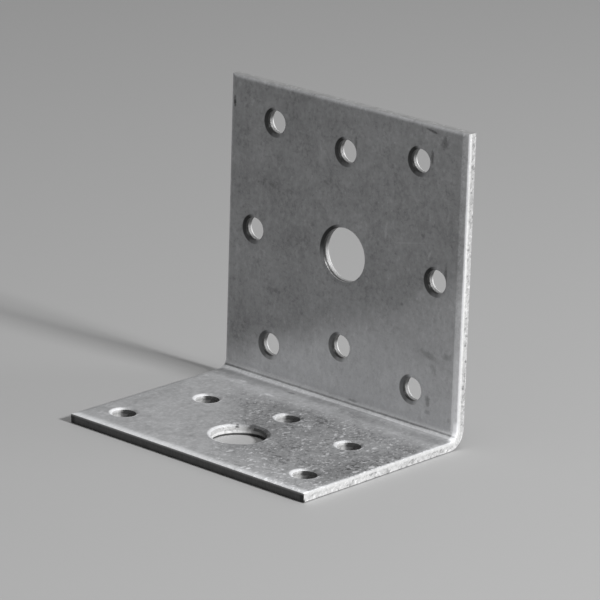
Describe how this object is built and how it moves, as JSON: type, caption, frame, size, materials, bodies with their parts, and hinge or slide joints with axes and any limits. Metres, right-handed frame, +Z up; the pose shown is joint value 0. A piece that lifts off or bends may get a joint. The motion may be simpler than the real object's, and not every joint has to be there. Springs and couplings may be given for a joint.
{
  "type": "corner brace bracket",
  "caption": "Corner brace of folded galvanised sheet: an upright leg and a shorter base leg at a right angle, each with punched nail holes and a larger bolt hole, for joining timber.",
  "frame": {"origin": "centre of the base bolt hole, on the underside of the base leg", "axes": "+Z up the upright leg and out of the base bolt hole, +Y towards the upright leg's back face, +X along the fold"},
  "size_m": [0.06, 0.044, 0.061],
  "materials": {
    "zinc": "hot-dip galvanised sheet, satin, with fine mottle, scratches and bright sheared edges"
  },
  "bodies": {
    "root": {"bracket": "zinc"}
  },
  "joints": []
}
